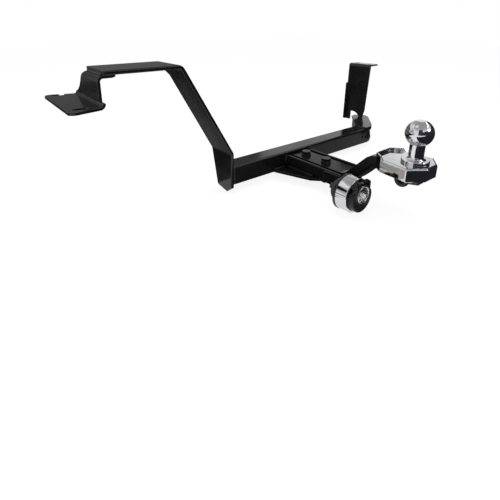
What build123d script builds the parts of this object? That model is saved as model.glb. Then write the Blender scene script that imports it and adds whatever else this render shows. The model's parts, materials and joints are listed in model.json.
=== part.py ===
"""Fixed trailer hitch: folded steel frame, bolted ball mount, 50 mm ball and sprung-lid socket."""
import os
from math import radians, tan

from build123d import *

os.makedirs("parts", exist_ok=True)

# Frame: millimetres, origin at the centre of the ball, +X along the crossbar
# towards its bent end, +Y forward to the vehicle, +Z up.

# Steel stock
tube_size = 45
tube_wall = 3
tube_corner = 5
plate = 4.76
channel_wall = 6.35
arm_plate = 7.94

# Ball, its stud and its nut
ball_diameter = 50
ball_flat_diameter = 18
neck_diameter = 27
neck_blend = 5
flange_diameter = 50
flange_thickness = 6
flange_drop = 50
stud_diameter = 22
stud_clearance = 0.5
stud_chamfer = 1
flange_edge = 1
ball_washer_thickness = 3
ball_washer_diameter = 37
ball_nut_height = 12
ball_nut_across_flats = 34
stud_past_nut = 1.5

# Ball mount: one thick bar, straight in the channel, then cranked up to a wide pad
bar_width = 50.8
bar_thickness = 22.2
bar_crank_angle = 47
bar_upper_knee = 78.3
bar_lower_radius = 26
bar_upper_radius = 10
bar_end_gap = 4
pad_half_width = 33
pad_rear = 27
pad_front = 30
pad_taper = 14
pad_round = 23

# Place of the crossbar as seen from the ball
crossbar_forward = 293
crossbar_drop = 111
crossbar_left = 200
crossbar_right = 300
crossbar_bend_angle = 40
crossbar_bend_radius = 60
crossbar_leg = 130
end_cap_chamfer = 1
drain_hole_diameter = 9
drain_hole_from_bend = 25
dent_radius = 14
dent_depth = 9
dent_below_top = 20
dent_length = 120
dent_edge_round = 1.5
foot_plate_width = 52
foot_plate_past_bend = 100
foot_plate_heel = 38
foot_plate_heel_back = 10
foot_plate_corner = 5

# Channel that takes the bar, and the gusset below it
channel_width = 84
channel_height = 30
channel_below_tube_top = 7
channel_length = 162
channel_inner_radius = 4
channel_lip_round = 2
gusset_thickness = 6.35
gusset_wing = 40
gusset_shoulder_wing = 8
gusset_shoulder = 88
gusset_length = 104
gusset_corner = 4

# Bolts that clamp the bar through the channel and the gusset
bolt_diameter = 12
bolt_clearance = 0.5
bolt_head_height = 7.5
bolt_across_flats = 19
bolt_nut_height = 10
bolt_past_nut = 4
bolt_chamfer = 1
bolt_washer_diameter = 24
bolt_washer_thickness = 2.5
bolt_first = 27
bolt_spacing = 62

# Left arm: a flat bar folded twice
arm_top_width = 84
arm_neck_width = 64
arm_width = 72
arm_foot_width = 50
arm_drop = 62
arm_low_bend_rise = 32
arm_top_rise = 230
arm_neck_drop = 26
arm_run = 117
arm_reach = 267
arm_inner_radius = 8
arm_tip_cut = 14
arm_past_tube = 3
arm_edge_round = 2.5

# Left foot bracket: Z-folded plate under the arm
foot_rise = 175
foot_top_flange = 34
foot_reach = 55
foot_inner_radius = 5
foot_rear_overhang = 32
foot_rear_taper = 15
foot_front_taper = 16
foot_flare_rise = 28
foot_flare = 15
foot_flare_slope = 11.3
foot_corner = 10
slot_length = 25
slot_width = 13
slot_from_edge = 23
slot_rear = 8
slot_spacing = 146
slot_front_margin = 14

# Right upright: coped plate on the bent leg, lipped in front and flanged on top
upright_from_bend = 87
upright_rear = 72
upright_width = 78
upright_rise = 175
upright_flange = 40
upright_lip = 9
upright_lip_rise = 112
upright_lip_round = 5
upright_drop = 10
upright_taper = 12
upright_foot = 12
upright_cope = 17
upright_cope_radius = 27.2
upright_front_leg = 20
upright_hole_diameter = 13
upright_hole_spacing = 44
upright_hole_inset = 22
fold_radius = 3

# Chrome cover over the ball mount
cover_half_width = 50
cover_neck_half_width = 41
cover_front = 66
cover_rear = 34
cover_side_front = 46
cover_side_rear = 12
cover_front_half_width = 24
cover_rear_half_width = 18
cover_height = 26
cover_wall = 3
cover_bevel = 4
cover_hem = 2
cover_corner = 5
cover_bar_gap = 1.5
cover_lip = 6
cover_lip_start = 38
cover_lip_round = 1

# Safety chain loops under the ball mount
loop_wire = 10
loop_half_span = 9
loop_offset = 26
loop_forward = 7
loop_depth = 21

# Electrical socket: axis along Y, mouth to the rear
socket_left = 75
socket_below = 130
socket_front = 65
sleeve_radius = 36
sleeve_length = 25
sleeve_wall = 2
sleeve_mouth_radius = 31
sleeve_round = 1.9
sleeve_fit = 0.05
gasket_thickness = 2
gasket_radius = 36.4
bracket_radius = 36.8
bracket_plate = 3.2
bracket_leg_end = 173
bracket_leg_width = 26
housing_flange = 5
barrel_proud = 1.5
barrel_radius = 24
bore_radius = 21
bore_depth = 22.5
keyway_width = 5
keyway_depth = 1.2
spigot_radius = 20
spigot_bore_radius = 17
spigot_clearance = 0.5
spigot_past_bracket = 6
insert_thickness = 6
insert_clearance = 0.1
contact_diameter = 5
contact_slit = 0.8
contact_front = 10
contact_rear = 9
contact_circle = 26
contact_count = 6
screw_circle = 56
screw_count = 3
screw_first_angle = 30
screw_diameter = 4
screw_head_radius = 3
screw_head_height = 2.6
screw_slot = 0.9
screw_nut_height = 3.2
screw_nut_across_flats = 7
screw_past_nut = 1.5
boot_radius = 22.5
boot_length = 18
boot_wall = 3
gland_radius = 8
gland_tip_radius = 6
gland_length = 14
gland_bore_radius = 3.5

# Sprung lid of the socket
lid_radius = 30
lid_thickness = 4
lid_skirt = 2
lid_front_gap = 0.4
lid_head_half_width = 23
lid_head_corner = 5
lid_shoulder = 12
lid_rim_round = 0.8
hinge_rise = 27.5
knuckle_radius = 6
ear_radius = 3.6
ear_inner = 14.4
ear_thickness = 4
ear_side_gap = 0.4
ear_root_rise = 12
ear_throat_rise = 20
ear_top_rise = 24.2
pin_radius = 1.5
pin_clearance = 0.05
seal_outer_radius = 24.4
seal_inner_radius = 19
seal_gap = 0.3
badge_radius = 18
badge_rise = 8
badge_height = 2.4
badge_bead = 1.2
badge_floor = 0.8
badge_dome = 1
spring_wire = 0.9
spring_radius = 2.6
spring_half_length = 5
spring_turns = 4

# Heights and lines worked out from the sizes above
ball_radius = ball_diameter / 2
flange_top = -flange_drop
cover_top = flange_top - flange_thickness
pad_top = cover_top - cover_wall
pad_bottom = pad_top - bar_thickness
ball_washer_bottom = pad_bottom - ball_washer_thickness
ball_nut_bottom = ball_washer_bottom - ball_nut_height
tube_top = -crossbar_drop
tube_rear = crossbar_forward
tube_centre_y = tube_rear + tube_size / 2
tube_centre_z = tube_top - tube_size / 2
channel_top = tube_top - channel_below_tube_top
channel_bottom = channel_top - channel_height
channel_side = -channel_width / 2
bar_bottom = channel_bottom + channel_wall
bar_top = bar_bottom + bar_thickness
bar_lower_knee = bar_upper_knee + (pad_top - bar_top) / tan(radians(bar_crank_angle))
gusset_bottom = channel_bottom - gusset_thickness
arm_face = -crossbar_left - plate
arm_end = -crossbar_left - arm_reach
arm_top = tube_top + arm_top_rise
arm_underside = arm_top - arm_plate
arm_rear = tube_rear - arm_past_tube
foot_top = tube_top + foot_rise
foot_bottom = foot_top - plate
foot_web = arm_end - foot_inner_radius - plate
foot_edge = foot_web - foot_reach
foot_front_overhang = slot_spacing - slot_rear + slot_front_margin
upright_y = tube_rear + upright_rear
upright_front = upright_y + upright_width
upright_top = tube_top + upright_rise
upright_bottom = tube_top - upright_drop
foot_plate_top = tube_top + plate
sleeve_rear = socket_front + sleeve_length
bracket_front = sleeve_rear + gasket_thickness
bracket_rear = bracket_front + bracket_plate
housing_front = socket_front - barrel_proud
insert_front = housing_front + bore_depth - insert_thickness
hinge_y = socket_front - lid_front_gap - knuckle_radius
hinge_z = hinge_rise - socket_below
lid_front = hinge_y - knuckle_radius
lid_back = lid_front + lid_thickness
ear_outer = ear_inner + ear_thickness

# Planes and places used by several pieces
socket_section = Plane(origin=(-socket_left, 0, -socket_below))
socket_axis = Axis((-socket_left, 0, -socket_below), (0, 1, 0))
bolt_places = [(0, tube_rear - bolt_first - i * bolt_spacing) for i in range(2)]
screw_places = PolarLocations(screw_circle / 2, screw_count, start_angle=screw_first_angle)


def socket_face(y):
    """Plane across the socket axis at y, facing the rear like the mouth."""
    return Plane(origin=(-socket_left, y, -socket_below), x_dir=(1, 0, 0), z_dir=(0, -1, 0))


def hexagon(across_flats):
    """Corner radius of a hexagon from its width across flats."""
    return across_flats / 3**0.5


def save(part, name):
    """Label a finished piece and write it to its own file."""
    part.label = name
    export_step(part, f"parts/{name}.step")


# Crossbar: square tube, straight and then bent forward
with BuildLine(Plane.XY.offset(tube_centre_z)) as crossbar_path:
    straight = Line((-crossbar_left, tube_centre_y), (crossbar_right, tube_centre_y))
    bend = JernArc(
        start=straight @ 1,
        tangent=straight % 1,
        radius=crossbar_bend_radius - tube_size / 2,
        arc_size=crossbar_bend_angle,
    )
    leg = PolarLine(bend @ 1, crossbar_leg, direction=bend % 1)
tube_start = Plane(origin=straight @ 0, x_dir=(0, 1, 0), z_dir=straight % 0)

# Bending caved the outer wall in: the hollow runs along the chord of the bend
dent_way = bend % 0.5
dent_outward = Vector(dent_way.Y, -dent_way.X)
dent_reach = tube_size / 2 - dent_depth + dent_radius
dent_rise = Vector(0, 0, tube_size / 2 - dent_below_top)
dent_centre = (bend @ 0.5) + dent_outward * dent_reach + dent_rise
dent_start = Plane(origin=dent_centre - dent_way * (dent_length / 2), z_dir=dent_way)

with BuildPart() as tube_bore:
    with BuildSketch(tube_start):
        inside = tube_size - 2 * tube_wall
        RectangleRounded(inside, inside, tube_corner - tube_wall)
    sweep(path=crossbar_path.line)
    with BuildSketch(dent_start):
        Circle(dent_radius + tube_wall)
    extrude(amount=dent_length, mode=Mode.SUBTRACT)

with BuildPart() as crossbar_tube:
    with BuildSketch(tube_start):
        RectangleRounded(tube_size, tube_size, tube_corner)
    sweep(path=crossbar_path.line)
    with BuildSketch(dent_start):
        Circle(dent_radius)
    extrude(amount=dent_length, mode=Mode.SUBTRACT)
    dent_rim = crossbar_tube.edges(Select.LAST)
    fillet(dent_rim, radius=dent_edge_round)
    add(tube_bore.part, mode=Mode.SUBTRACT)
    with BuildSketch(Plane.XZ.offset(-tube_rear)):
        with Locations((crossbar_right - drain_hole_from_bend, tube_centre_z)):
            Circle(drain_hole_diameter / 2)
    extrude(amount=-tube_wall, mode=Mode.SUBTRACT)
save(crossbar_tube.part, "crossbar_tube")

for cap_name, cap_point, cap_direction in (
    ("crossbar_left_end_cap", straight @ 0, -(straight % 0)),
    ("crossbar_right_end_cap", leg @ 1, leg % 1),
):
    with BuildPart() as end_cap:
        with BuildSketch(Plane(origin=cap_point, x_dir=(0, 0, 1), z_dir=cap_direction)):
            RectangleRounded(tube_size, tube_size, tube_corner)
        extrude(amount=plate)
        outer_face = end_cap.faces().sort_by(Axis(cap_point, cap_direction))[-1]
        chamfer(outer_face.edges(), length=end_cap_chamfer)
    save(end_cap.part, cap_name)

# Left arm: flat bar standing on the end cap, folded out and up, then level
with BuildPart() as left_arm:
    with BuildSketch(Plane.XZ.offset(-arm_rear)):
        with BuildLine():
            FilletPolyline(
                (arm_face, tube_top - arm_drop),
                (arm_face, tube_top + arm_low_bend_rise),
                (arm_face - arm_run, arm_top),
                (arm_end, arm_top),
                radius=arm_inner_radius + arm_plate,
            )
            offset(amount=arm_plate, side=Side.LEFT)
        make_face()
    extrude(amount=-(arm_past_tube + arm_top_width))
    rear_edges = left_arm.edges().group_by(Axis.Y)[0]
    long_edges = rear_edges.filter_by(lambda edge: edge.length > arm_plate + arm_edge_round)
    fillet(long_edges, radius=arm_edge_round)
    with BuildSketch(Plane.YZ.offset(arm_end)) as arm_side:
        with BuildLine():
            Polyline(
                (arm_rear, arm_top),
                (tube_rear + arm_top_width, arm_top),
                (tube_rear + arm_top_width, arm_underside),
                (tube_rear + arm_neck_width, arm_top - arm_neck_drop),
                (tube_rear + arm_width, tube_top + arm_low_bend_rise),
                (tube_rear + arm_foot_width, tube_top - arm_drop + arm_tip_cut / 2),
                (tube_rear + arm_tip_cut, tube_top - arm_drop),
                (arm_rear, tube_top - arm_drop + arm_tip_cut),
                close=True,
            )
        make_face()
        fillet(arm_side.vertices().sort_by(Axis.Y)[0:3], radius=arm_tip_cut / 4)
    extrude(amount=arm_reach, mode=Mode.INTERSECT)
save(left_arm.part, "left_arm")

# Left foot bracket: Z-folded plate that flares from the arm down to the slotted foot
with BuildPart() as left_foot_bracket:
    with BuildSketch(Plane.XZ.offset(foot_rear_overhang - tube_rear)):
        with BuildLine():
            FilletPolyline(
                (foot_web + foot_top_flange, arm_underside),
                (foot_web, arm_underside),
                (foot_web, foot_top),
                (foot_edge, foot_top),
                radius=(foot_inner_radius + plate, foot_inner_radius),
            )
            offset(amount=plate, side=Side.LEFT)
        make_face()
    extrude(amount=-(foot_rear_overhang + foot_front_overhang))
    with BuildSketch(Plane.YZ.offset(foot_edge)) as foot_side:
        with BuildLine():
            fold_z = foot_top + foot_inner_radius
            web_front = tube_rear + foot_front_overhang - foot_front_taper
            flare_top = Vector(tube_rear + arm_top_width + foot_flare, foot_top + foot_flare_rise)
            Polyline(
                flare_top,
                (tube_rear + arm_top_width, arm_underside),
                (tube_rear, arm_underside),
                (tube_rear, fold_z),
                (tube_rear - foot_rear_overhang, fold_z),
                (tube_rear - foot_rear_overhang, foot_bottom),
                (tube_rear + foot_front_overhang, foot_bottom),
                (tube_rear + foot_front_overhang, fold_z),
                (web_front, fold_z),
            )
            flare_start = Vector(-1, 0).rotate(Axis.Z, -foot_flare_slope)
            TangentArc((web_front, fold_z), flare_top, tangent=flare_start)
        make_face()
    extrude(amount=foot_reach + foot_top_flange, mode=Mode.INTERSECT)
    with BuildSketch(Plane.XY.offset(foot_bottom)) as foot_plan:
        with BuildLine():
            Polyline(
                (foot_web + foot_top_flange, tube_rear + foot_corner),
                (foot_web + foot_top_flange - foot_corner, tube_rear),
                (foot_web + plate + foot_corner, tube_rear - foot_rear_overhang + foot_rear_taper),
                (foot_web, tube_rear - foot_rear_overhang + foot_rear_taper),
                (foot_edge, tube_rear - foot_rear_overhang),
                (foot_edge, tube_rear + foot_front_overhang),
                (foot_web, web_front),
                (foot_web + foot_top_flange, web_front),
                close=True,
            )
        make_face()
        fillet(foot_plan.vertices().group_by(Axis.X)[0], radius=foot_corner)
    extrude(amount=arm_underside - foot_bottom, mode=Mode.INTERSECT)
    with BuildSketch(Plane.XY.offset(foot_top)):
        with Locations(
            (foot_edge + slot_from_edge, tube_rear - slot_rear),
            (foot_edge + slot_from_edge, tube_rear - slot_rear + slot_spacing),
        ):
            SlotOverall(slot_length, slot_width)
    extrude(amount=-plate, mode=Mode.SUBTRACT)
save(left_foot_bracket.part, "left_foot_bracket")

# Doubler plate on top of the bend: it carries the upright
with BuildPart() as upright_foot_plate:
    bend_centre = (crossbar_right, tube_rear + crossbar_bend_radius)
    with BuildSketch(Plane.XY.offset(tube_top)) as foot_plate_plan:
        with BuildLine():
            outer_bend = CenterArc(bend_centre, crossbar_bend_radius, -90, crossbar_bend_angle)
            outer_edge = PolarLine(outer_bend @ 1, foot_plate_past_bend, crossbar_bend_angle)
            end_edge = PolarLine(outer_edge @ 1, foot_plate_width, crossbar_bend_angle + 90)
            Polyline(
                end_edge @ 1,
                (crossbar_right - foot_plate_heel_back, tube_rear + foot_plate_heel),
                (crossbar_right - foot_plate_heel_back, tube_rear),
                outer_bend @ 0,
            )
        make_face()
        fillet(foot_plate_plan.vertices().group_by(Axis.X)[0], radius=foot_plate_corner)
    extrude(amount=plate)
save(upright_foot_plate.part, "upright_foot_plate")

# Right upright: one sheet with a lip along its front edge and a flange on top
upright_x = crossbar_right + upright_from_bend
with BuildPart() as right_upright:
    with BuildSketch(Plane.XZ.offset(-upright_y)):
        with BuildLine():
            FilletPolyline(
                (upright_x, upright_bottom),
                (upright_x, upright_top),
                (upright_x + upright_flange, upright_top),
                radius=fold_radius + plate,
            )
            offset(amount=plate, side=Side.RIGHT)
        make_face()
    extrude(amount=-upright_width)
    with BuildSketch(Plane.XY.offset(upright_bottom)):
        with Locations((upright_x, upright_front)):
            Rectangle(2 * plate, 2 * (fold_radius + plate))
    extrude(amount=upright_lip_rise + upright_drop, mode=Mode.SUBTRACT)
    with BuildSketch(Plane.XY.offset(upright_bottom)):
        with BuildLine():
            FilletPolyline(
                (upright_x + plate, upright_y + upright_width / 2),
                (upright_x + plate, upright_front),
                (upright_x - upright_lip, upright_front),
                radius=fold_radius + plate,
            )
            offset(amount=plate, side=Side.LEFT)
        make_face()
    extrude(amount=upright_lip_rise + upright_drop)
    with BuildSketch(Plane.YZ.offset(upright_x - upright_lip)) as upright_side:
        with BuildLine():
            cope_front = upright_front - upright_front_leg
            foot_start = upright_y + upright_taper
            foot_end = foot_start + upright_foot
            Polyline(
                (cope_front, tube_top + upright_cope),
                (cope_front, upright_bottom),
                (upright_front, upright_bottom),
                (upright_front, upright_top),
                (upright_y, upright_top),
                (foot_start - upright_taper / 2, tube_top + upright_cope + foot_corner),
                (foot_start, foot_plate_top),
                (foot_end, foot_plate_top),
            )
            RadiusArc(
                (foot_end, foot_plate_top),
                (cope_front, tube_top + upright_cope),
                upright_cope_radius,
            )
        make_face()
    extrude(amount=upright_lip + upright_flange, mode=Mode.INTERSECT)
    lip_corners = right_upright.edges().filter_by(Axis.Y).group_by(Axis.X)[0]
    fillet(lip_corners, radius=upright_lip_round)
    with BuildSketch(Plane.XY.offset(upright_top)):
        with Locations((upright_x + upright_hole_inset, upright_y + upright_width / 2)):
            with GridLocations(1, upright_hole_spacing, 1, 2):
                Circle(upright_hole_diameter / 2)
    extrude(amount=-plate, mode=Mode.SUBTRACT)
save(right_upright.part, "right_upright")

# Channel welded to the crossbar: folded U that holds the ball mount
with BuildPart() as receiver_channel:
    with BuildSketch(Plane.XZ.offset(-tube_rear)):
        with BuildLine():
            FilletPolyline(
                (channel_side, channel_top),
                (channel_side, channel_bottom),
                (-channel_side, channel_bottom),
                (-channel_side, channel_top),
                radius=channel_inner_radius + channel_wall,
            )
            offset(amount=channel_wall, side=Side.LEFT)
        make_face()
    extrude(amount=channel_length)
    fillet(
        receiver_channel.edges().filter_by(Axis.Y).group_by(Axis.Z)[-1],
        radius=channel_lip_round,
    )
    with BuildSketch(Plane.XY.offset(bar_bottom)):
        with Locations(*bolt_places):
            Circle(bolt_diameter / 2 + bolt_clearance)
    extrude(amount=-channel_wall, mode=Mode.SUBTRACT)
save(receiver_channel.part, "receiver_channel")

with BuildPart() as receiver_gusset:
    with BuildSketch(Plane.XY.offset(channel_bottom)) as gusset_plan:
        with BuildLine():
            Polyline(
                (channel_side - gusset_wing, tube_rear),
                (channel_side - gusset_shoulder_wing, tube_rear - gusset_shoulder),
                (channel_side + gusset_shoulder_wing, tube_rear - gusset_length),
                (-channel_side - gusset_shoulder_wing, tube_rear - gusset_length),
                (-channel_side + gusset_shoulder_wing, tube_rear - gusset_shoulder),
                (-channel_side + gusset_wing, tube_rear),
                close=True,
            )
        make_face()
        fillet(gusset_plan.vertices().sort_by(Axis.Y)[0:4], radius=gusset_corner)
        with Locations(*bolt_places):
            Circle(bolt_diameter / 2 + bolt_clearance, mode=Mode.SUBTRACT)
    extrude(amount=-gusset_thickness)
save(receiver_gusset.part, "receiver_gusset")

# Ball mount: cranked bar that widens into a rounded pad under the ball
with BuildPart() as ball_mount:
    with BuildSketch(Plane.YZ.offset(-bar_width / 2)):
        with BuildLine():
            FilletPolyline(
                (tube_rear - bar_end_gap, bar_top),
                (bar_lower_knee, bar_top),
                (bar_upper_knee, pad_top),
                (0, pad_top),
                radius=(bar_lower_radius, bar_upper_radius + bar_thickness),
            )
            offset(amount=bar_thickness, side=Side.LEFT)
        make_face()
    extrude(amount=bar_width)
    with BuildSketch(Plane.XY.offset(pad_top)) as pad_plan:
        with BuildLine():
            Polyline(
                (-pad_half_width, -pad_rear),
                (pad_half_width, -pad_rear),
                (pad_half_width, pad_front),
                (bar_width / 2, pad_front + pad_taper),
                (-bar_width / 2, pad_front + pad_taper),
                (-pad_half_width, pad_front),
                close=True,
            )
        make_face()
        fillet(pad_plan.vertices().group_by(Axis.Y)[0], radius=pad_round)
    extrude(amount=-bar_thickness)
    with BuildSketch(Plane.XY.offset(pad_top)):
        Circle(stud_diameter / 2 + stud_clearance)
    extrude(amount=-bar_thickness, mode=Mode.SUBTRACT)
    with BuildSketch(Plane.XY.offset(bar_top)):
        with Locations(*bolt_places):
            Circle(bolt_diameter / 2 + bolt_clearance)
    extrude(amount=-bar_thickness, mode=Mode.SUBTRACT)
save(ball_mount.part, "ball_mount")

# Bolts, washers and nuts that clamp the bar in the channel
head_bottom = bar_top + bolt_washer_thickness
nut_top = gusset_bottom - bolt_washer_thickness
bolt_end = nut_top - bolt_nut_height - bolt_past_nut
with BuildPart() as clamp_bolts:
    with BuildSketch(Plane.XY.offset(head_bottom)):
        with Locations(*bolt_places):
            RegularPolygon(hexagon(bolt_across_flats), 6)
    extrude(amount=bolt_head_height)
    with BuildSketch(Plane.XY.offset(head_bottom)):
        with Locations(*bolt_places):
            Circle(bolt_diameter / 2)
    extrude(amount=bolt_end - head_bottom)
    chamfer(clamp_bolts.edges().filter_by(GeomType.CIRCLE).group_by(Axis.Z)[0], length=bolt_chamfer)
save(clamp_bolts.part, "clamp_bolts")

with BuildPart() as clamp_washers:
    for washer_top in (head_bottom, gusset_bottom):
        with BuildSketch(Plane.XY.offset(washer_top)):
            with Locations(*bolt_places):
                Circle(bolt_washer_diameter / 2)
                Circle(bolt_diameter / 2 + bolt_clearance, mode=Mode.SUBTRACT)
        extrude(amount=-bolt_washer_thickness)
save(clamp_washers.part, "clamp_washers")

with BuildPart() as clamp_nuts:
    with BuildSketch(Plane.XY.offset(nut_top)):
        with Locations(*bolt_places):
            RegularPolygon(hexagon(bolt_across_flats), 6)
            Circle(bolt_diameter / 2, mode=Mode.SUBTRACT)
    extrude(amount=-bolt_nut_height)
save(clamp_nuts.part, "clamp_nuts")

# Ball with neck, flange and stud, turned in one piece
with BuildPart() as tow_ball:
    with BuildSketch(Plane.XZ):
        with BuildLine():
            flat_radius = ball_flat_diameter / 2
            flat_height = (ball_radius**2 - flat_radius**2) ** 0.5
            neck_radius = neck_diameter / 2
            neck_height = -((ball_radius**2 - neck_radius**2) ** 0.5)
            stud_end = ball_nut_bottom - stud_past_nut
            Polyline((0, stud_end), (0, flat_height), (flat_radius, flat_height))
            RadiusArc((flat_radius, flat_height), (ball_radius, 0), ball_radius)
            RadiusArc((ball_radius, 0), (neck_radius, neck_height), ball_radius)
            Line((neck_radius, neck_height), (neck_radius, flange_top + neck_blend))
            RadiusArc(
                (neck_radius, flange_top + neck_blend),
                (neck_radius + neck_blend, flange_top),
                -neck_blend,
            )
            Polyline(
                (neck_radius + neck_blend, flange_top),
                (flange_diameter / 2 - flange_edge, flange_top),
                (flange_diameter / 2, flange_top - flange_edge),
                (flange_diameter / 2, cover_top),
                (stud_diameter / 2, cover_top),
                (stud_diameter / 2, stud_end + stud_chamfer),
                (stud_diameter / 2 - stud_chamfer, stud_end),
                (0, stud_end),
            )
        make_face()
    revolve(axis=Axis.Z)
save(tow_ball.part, "tow_ball")

with BuildPart() as ball_washer:
    with BuildSketch(Plane.XY.offset(pad_bottom)):
        Circle(ball_washer_diameter / 2)
        Circle(stud_diameter / 2 + stud_clearance, mode=Mode.SUBTRACT)
    extrude(amount=-ball_washer_thickness)
save(ball_washer.part, "ball_washer")

with BuildPart() as ball_nut:
    with BuildSketch(Plane.XY.offset(ball_washer_bottom)):
        RegularPolygon(hexagon(ball_nut_across_flats), 6)
        Circle(stud_diameter / 2, mode=Mode.SUBTRACT)
    extrude(amount=-ball_nut_height)
save(ball_nut.part, "ball_nut")

# Two bent-rod loops for safety chains, one each side of the nut
with BuildPart() as safety_chain_loops:
    for side in (-1, 1):
        with BuildLine(Plane.YZ.offset(side * loop_offset)) as loop_path:
            rear_leg = loop_forward - loop_half_span
            front_leg = loop_forward + loop_half_span
            crown = pad_bottom - loop_depth + loop_wire / 2 + loop_half_span
            Line((rear_leg, pad_bottom), (rear_leg, crown))
            ThreePointArc(
                (rear_leg, crown),
                (loop_forward, crown - loop_half_span),
                (front_leg, crown),
            )
            Line((front_leg, crown), (front_leg, pad_bottom))
        with BuildSketch(Plane(origin=loop_path.line @ 0, z_dir=loop_path.line % 0)):
            Circle(loop_wire / 2)
        sweep(path=loop_path.line)
save(safety_chain_loops.part, "safety_chain_loops")

# Chrome cover: eight-sided shell clamped under the flange of the ball
cover_outline = [
    (cover_neck_half_width, cover_side_front),
    (cover_half_width, -cover_side_rear),
    (cover_rear_half_width, -cover_rear),
    (-cover_rear_half_width, -cover_rear),
    (-cover_half_width, -cover_side_rear),
    (-cover_neck_half_width, cover_side_front),
    (-cover_front_half_width, cover_front),
    (cover_front_half_width, cover_front),
]

with BuildPart() as cover_front_lip:
    with BuildSketch(Plane.XY.offset(cover_top - cover_bevel)) as lip_plan:
        with BuildLine():
            Polyline(*cover_outline, close=True)
        make_face()
        fillet(lip_plan.vertices(), radius=cover_corner)
        offset(amount=-cover_wall, mode=Mode.SUBTRACT)
    extrude(amount=cover_bevel + cover_lip)
    fillet(cover_front_lip.edges().group_by(Axis.Z)[-1], radius=cover_lip_round)
    with BuildSketch(Plane.YZ.offset(-cover_half_width)):
        with BuildLine():
            Polyline(
                (cover_lip_start, cover_top - cover_bevel),
                (cover_side_front, cover_top + cover_lip),
                (cover_front, cover_top + cover_lip),
                (cover_front, cover_top - cover_bevel),
                close=True,
            )
        make_face()
    extrude(amount=2 * cover_half_width, mode=Mode.INTERSECT)

with BuildPart() as ball_mount_cover:
    with BuildSketch(Plane.XY.offset(cover_top)) as cover_plan:
        with BuildLine():
            Polyline(*cover_outline, close=True)
        make_face()
        fillet(cover_plan.vertices(), radius=cover_corner)
    extrude(amount=-cover_height)
    fillet(ball_mount_cover.edges().group_by(Axis.Z)[-1], radius=cover_bevel)
    chamfer(ball_mount_cover.edges().group_by(Axis.Z)[0], length=cover_hem)
    with BuildSketch(Plane.XY.offset(cover_top - cover_wall)) as cover_hollow:
        with BuildLine():
            Polyline(*cover_outline, close=True)
        make_face()
        fillet(cover_hollow.vertices(), radius=cover_corner)
        offset(amount=-cover_wall, mode=Mode.REPLACE)
    extrude(amount=-cover_height, mode=Mode.SUBTRACT)
    add(cover_front_lip.part)
    with BuildSketch(Plane.XZ):
        with Locations((0, pad_top)):
            Rectangle(
                bar_width + 2 * cover_bar_gap,
                cover_height,
                align=(Align.CENTER, Align.MAX),
            )
    extrude(amount=-cover_front, mode=Mode.SUBTRACT)
    with BuildSketch(Plane.XY.offset(cover_top)):
        Circle(stud_diameter / 2 + stud_clearance)
    extrude(amount=-cover_wall, mode=Mode.SUBTRACT)
save(ball_mount_cover.part, "ball_mount_cover")

# Socket bracket: round plate with a leg folded back along the side of the channel
with BuildPart() as socket_bracket:
    with BuildSketch(Plane.XY.offset(-socket_below - bracket_radius)):
        with BuildLine():
            FilletPolyline(
                (-socket_left - bracket_radius, bracket_front),
                (channel_side, bracket_front),
                (channel_side, bracket_leg_end),
                radius=fold_radius + bracket_plate,
            )
            offset(amount=bracket_plate, side=Side.LEFT)
        make_face()
    extrude(amount=2 * bracket_radius)
    with BuildSketch(socket_face(bracket_leg_end)):
        leg_centre = (channel_top + channel_bottom) / 2 + socket_below
        Circle(bracket_radius)
        with Locations((socket_left + channel_side, leg_centre)):
            Rectangle(
                fold_radius + 2 * bracket_plate,
                bracket_leg_width,
                align=(Align.MAX, Align.CENTER),
            )
    extrude(amount=bracket_leg_end - bracket_front, mode=Mode.INTERSECT)
    with BuildSketch(Plane.YZ.offset(channel_side)):
        for leg_side in (-1, 1):
            with Locations((bracket_rear, leg_centre - socket_below + leg_side * bracket_leg_width / 2)):
                Rectangle(
                    bracket_leg_end - bracket_rear,
                    bracket_radius,
                    align=(Align.MIN, Align.MIN if leg_side > 0 else Align.MAX),
                )
    extrude(amount=-2 * bracket_plate, mode=Mode.SUBTRACT)
    with BuildSketch(socket_face(bracket_rear)):
        Circle(spigot_radius + spigot_clearance)
        with screw_places:
            Circle((screw_diameter + spigot_clearance) / 2)
    extrude(amount=bracket_plate, mode=Mode.SUBTRACT)
save(socket_bracket.part, "socket_bracket")

with BuildPart() as socket_gasket:
    with BuildSketch(socket_face(bracket_front)):
        Circle(gasket_radius)
        Circle(spigot_radius + spigot_clearance, mode=Mode.SUBTRACT)
        with screw_places:
            Circle((screw_diameter + spigot_clearance) / 2, mode=Mode.SUBTRACT)
    extrude(amount=gasket_thickness)
save(socket_gasket.part, "socket_gasket")

# Chrome sleeve round the socket, lipped inwards at the mouth
with BuildPart() as socket_sleeve:
    with BuildSketch(socket_section):
        with BuildLine():
            Polyline(
                (sleeve_mouth_radius, socket_front),
                (sleeve_radius, socket_front),
                (sleeve_radius, sleeve_rear),
                (sleeve_radius - sleeve_wall, sleeve_rear),
                (sleeve_radius - sleeve_wall, socket_front + sleeve_wall),
                (sleeve_mouth_radius, socket_front + sleeve_wall),
                close=True,
            )
        make_face()
    revolve(axis=socket_axis)
    sleeve_rim = socket_sleeve.edges().group_by(Axis.Y)[0].sort_by(SortBy.LENGTH)[-1]
    fillet(sleeve_rim, radius=sleeve_round)
save(socket_sleeve.part, "socket_sleeve")

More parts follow.
